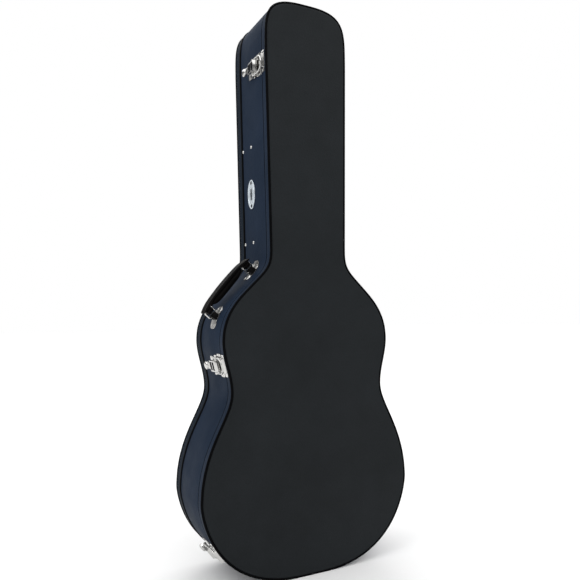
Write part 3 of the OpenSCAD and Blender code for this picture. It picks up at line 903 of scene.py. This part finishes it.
def pale_floor():
    """A wide floor just below the case."""
    bm = bmesh.new()
    bmesh.ops.create_grid(bm, x_segments=1, y_segments=1, size=20.0)
    mesh = bpy.data.meshes.new("floor")
    bm.to_mesh(mesh)
    bm.free()
    floor = bpy.data.objects.new("floor", mesh)
    n = Nodes("pale_floor")
    n.blend(n.noise(2.0), (0.90, 0.90, 0.90), (0.93, 0.93, 0.93))
    mesh.materials.append(n.set(Roughness=0.9, Specular_IOR_Level=0.1))
    floor.location.z = -0.0005
    bpy.context.scene.collection.objects.link(floor)


def room():
    """An even white room, which reflections see as a dim studio with a bright ceiling.

    SKY gives the brightness that reflections see, from straight down at 0 to straight up at 1.
    """
    world = bpy.data.worlds.new("studio")
    bpy.context.scene.world = world
    world.use_nodes = True
    tree = world.node_tree

    def add(kind, **values):
        node = tree.nodes.new(kind)
        for key, value in values.items():
            setattr(node, key, value)
        return node

    bearing = add("ShaderNodeTexCoord")
    split = add("ShaderNodeSeparateXYZ")
    tree.links.new(bearing.outputs["Generated"], split.inputs[0])
    height = add("ShaderNodeValToRGB")
    while len(height.color_ramp.elements) < len(SKY):
        height.color_ramp.elements.new(0.5)
    for element, (place, value) in zip(height.color_ramp.elements, SKY):
        element.position = place
        element.color = (value, value, value, 1)
    raised = add("ShaderNodeMapRange")
    raised.inputs["From Min"].default_value = -1.0
    tree.links.new(split.outputs["Z"], raised.inputs["Value"])
    tree.links.new(raised.outputs["Result"], height.inputs["Fac"])
    path = add("ShaderNodeLightPath")
    blend = add("ShaderNodeMix", data_type="RGBA")
    tree.links.new(path.outputs["Is Glossy Ray"], blend.inputs["Factor"])
    blend.inputs["A"].default_value = (1, 1, 1, 1)
    tree.links.new(height.outputs["Color"], blend.inputs["B"])
    tree.links.new(blend.outputs["Result"], tree.nodes["Background"].inputs["Color"])
    tree.nodes["Background"].inputs["Strength"].default_value = 1.0


def shine(name, kind, place, target, power):
    """A lamp at place that points at target."""
    light = bpy.data.lights.new(name, kind)
    light.energy = power
    lamp = bpy.data.objects.new(name, light)
    lamp.location = place
    lamp.rotation_euler = (Vector(target) - Vector(place)).to_track_quat("-Z", "Y").to_euler()
    bpy.context.scene.collection.objects.link(lamp)
    return light


def lights():
    """Three soft boxes and a wide overhead glow."""
    for name, place, target, size, power in LAMPS:
        light = shine(name, "AREA", place, target, power)
        light.shape = "RECTANGLE"
        light.size, light.size_y = size
    shine("ceiling", "SUN", (0, 0, 3), (0, 0, 0), 0.55).angle = 2.2


def camera():
    """The viewpoint: left of the lid face, a little below the middle, looking slightly up."""
    azimuth, far, height = math.radians(28.74), 1.1153, 0.4765
    yaw, pitch, roll = math.radians(26.83), math.radians(2.54), math.radians(-0.64)
    sight = Vector((math.sin(yaw) * math.cos(pitch), math.cos(yaw) * math.cos(pitch), math.sin(pitch)))
    right = Vector((math.cos(yaw), -math.sin(yaw), 0))
    up = right.cross(sight)
    tilted = right * math.cos(roll) + up * math.sin(roll)
    upright = up * math.cos(roll) - right * math.sin(roll)
    data = bpy.data.cameras.new("camera")
    data.lens = 36.75
    data.sensor_width = 36.0
    cam = bpy.data.objects.new("camera", data)
    place = Vector((-math.sin(azimuth) * far, FRONT * MM - math.cos(azimuth) * far, height))
    turned = Matrix((tilted, upright, -sight)).transposed().to_4x4()
    cam.matrix_world = Matrix.Translation(place) @ turned
    bpy.context.scene.collection.objects.link(cam)
    bpy.context.scene.camera = cam


bpy.context.scene.view_settings.view_transform = "Standard"
pale_floor()
room()
lights()
camera()
